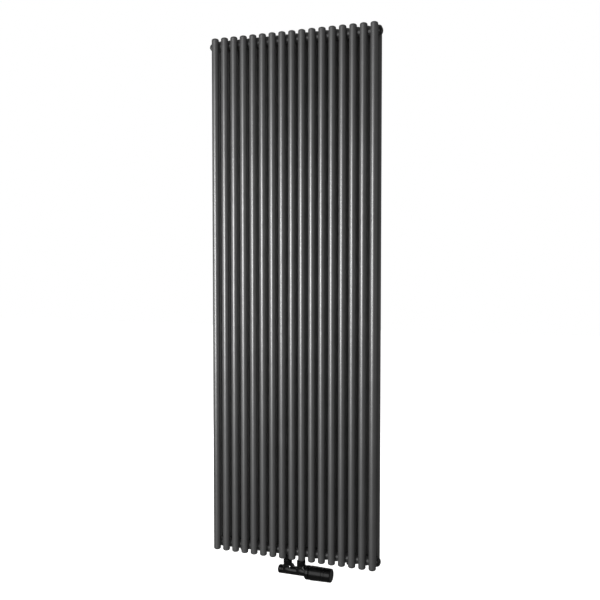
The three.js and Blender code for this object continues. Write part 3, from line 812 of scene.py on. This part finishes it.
class RADIATOR_OT_stage(bpy.types.Operator):
    """Sets up the floor, the studio lights and the camera"""
    bl_idname = "radiator.stage"
    bl_label = "Stage"

    def execute(self, context):
        scene = context.scene
        scene.view_settings.view_transform = "Standard"
        self.camera(scene)
        self.floor(scene)
        self.backdrop(scene)
        aim = Vector((0, HEADER_CENTRE.y, 0))
        valve = middle("valve_block")
        tall = self.softbox("tall_softbox", (-0.58, -2.02, 0.16), aim, (0.4, 1.2), 36)
        self.light_only(tall, [bpy.data.objects[f"fine_{name}"]
                               for row in ROWS for name in tube_names(row)])
        self.softbox("wide_fill", (-0.6, -3.4, 0.2), aim, (3.0, 3.0), 30)
        glint = self.softbox("right_strip", (2.4, -1.6, -0.25), valve, (0.3, 0.8), 160)
        self.light_only(glint, [bpy.data.objects["fine_valve_block"],
                                bpy.data.objects["fine_head_nut"]])
        self.softbox("left_strip", (-3.0, -0.6, 0.2), aim, (0.4, 1.6), 5)
        self.softbox("rear_fill", (-2.4, 2.6, 0.5), aim, (2.4, 2.4), 26)
        self.softbox("right_fill", (3.4, 0.8, 0.2), aim, (2.0, 2.0), 3)
        return {"FINISHED"}

    @staticmethod
    def light_only(light, pieces):
        """Keeps a light to some pieces, so that it draws no spots on the others."""
        lit = bpy.data.collections.new(f"lit_by_{light.name}")
        for piece in pieces:
            lit.objects.link(piece)
        light.light_linking.receiver_collection = lit

    @staticmethod
    def camera(scene):
        data = bpy.data.cameras.new("camera")
        data.lens = 51.11
        data.sensor_width = 36
        data.clip_end = 100
        item = bpy.data.objects.new("camera", data)
        item.location = (1.108, -2.767, 0.129)
        item.rotation_euler = (math.radians(87.36), 0, math.radians(21.994))
        scene.collection.objects.link(item)
        scene.camera = item

    @staticmethod
    def floor(scene):
        bm = bmesh.new()
        bmesh.ops.create_grid(bm, x_segments=8, y_segments=8, size=12,
                              matrix=Matrix.Translation((0, 0, CAD_LOW.z - FLOOR_DROP)))
        item = mesh_object(bm, "studio_floor")
        material = bpy.data.materials.new("pale_floor")
        material.use_nodes = True
        tree = material.node_tree
        tree.nodes.clear()
        shade = linear(scene.radiator_colours.floor)
        diffuse = add_node(tree, "ShaderNodeBsdfDiffuse", {"Color": shade})
        glow = add_node(tree, "ShaderNodeEmission", {"Color": (1, 1, 1, 1), "Strength": 0.9})
        mix = add_node(tree, "ShaderNodeAddShader")
        tree.links.new(diffuse.outputs[0], mix.inputs[0])
        tree.links.new(glow.outputs[0], mix.inputs[1])
        output = add_node(tree, "ShaderNodeOutputMaterial")
        tree.links.new(mix.outputs[0], output.inputs["Surface"])
        item.data.materials.append(material)
        item.visible_glossy = False
        item.visible_diffuse = False

    @staticmethod
    def backdrop(scene):
        world = bpy.data.worlds.new("studio")
        world.use_nodes = True
        tree = world.node_tree
        tree.nodes.clear()
        rays = add_node(tree, "ShaderNodeLightPath").outputs
        level = None
        for ray, strength in (("Is Camera Ray", 1.0), ("Is Diffuse Ray", 0.42),
                              ("Is Glossy Ray", 0.09)):
            step = add_node(tree, "ShaderNodeMath", {"operation": "MULTIPLY_ADD"})
            step.inputs[1].default_value = strength
            step.inputs[2].default_value = 0.0
            tree.links.new(rays[ray], step.inputs[0])
            if level:
                tree.links.new(level, step.inputs[2])
            level = step.outputs[0]
        sky = add_node(tree, "ShaderNodeBackground", {"Color": (1, 1, 1, 1)}, {"Strength": level})
        add_node(tree, "ShaderNodeOutputWorld", links={"Surface": sky.outputs[0]})
        scene.world = world

    @staticmethod
    def softbox(name, place, aim, extent, power):
        data = bpy.data.lights.new(name, "AREA")
        data.shape = "RECTANGLE"
        data.size, data.size_y = extent
        data.energy = power
        item = bpy.data.objects.new(name, data)
        item.location = place
        item.rotation_euler = (aim - Vector(place)).to_track_quat("-Z", "Y").to_euler()
        bpy.context.scene.collection.objects.link(item)
        return item


# ---- The add-on ----------------------------------------------------------------------

STEPS = (RADIATOR_OT_finishes, RADIATOR_OT_tubes, RADIATOR_OT_headers, RADIATOR_OT_plugs,
         RADIATOR_OT_brackets, RADIATOR_OT_valve_block, RADIATOR_OT_unions,
         RADIATOR_OT_lockshield, RADIATOR_OT_head, RADIATOR_OT_stage)
SETTINGS = {"radiator_sizes": RadiatorSizes, "valve_sizes": ValveSizes,
            "radiator_colours": RadiatorColours}


class RADIATOR_PT_panel(bpy.types.Panel):
    """The radiator's settings and its steps"""
    bl_idname = "RADIATOR_PT_panel"
    bl_label = "Radiator"
    bl_space_type = "VIEW_3D"
    bl_region_type = "UI"
    bl_category = "Radiator"

    def draw(self, context):
        for name, group in SETTINGS.items():
            box = self.layout.box()
            for prop in group.__annotations__:
                box.prop(getattr(context.scene, name), prop)
        for step in STEPS:
            self.layout.operator(step.bl_idname)


def register():
    for item in (*SETTINGS.values(), *STEPS, RADIATOR_PT_panel):
        bpy.utils.register_class(item)
    for name, group in SETTINGS.items():
        setattr(bpy.types.Scene, name, PointerProperty(type=group))


def unregister():
    for name in SETTINGS:
        delattr(bpy.types.Scene, name)
    for item in reversed((*SETTINGS.values(), *STEPS, RADIATOR_PT_panel)):
        bpy.utils.unregister_class(item)


def main():
    register()
    for step in STEPS:
        group, name = step.bl_idname.split(".")
        getattr(getattr(bpy.ops, group), name)()


if __name__ == "__main__":
    main()
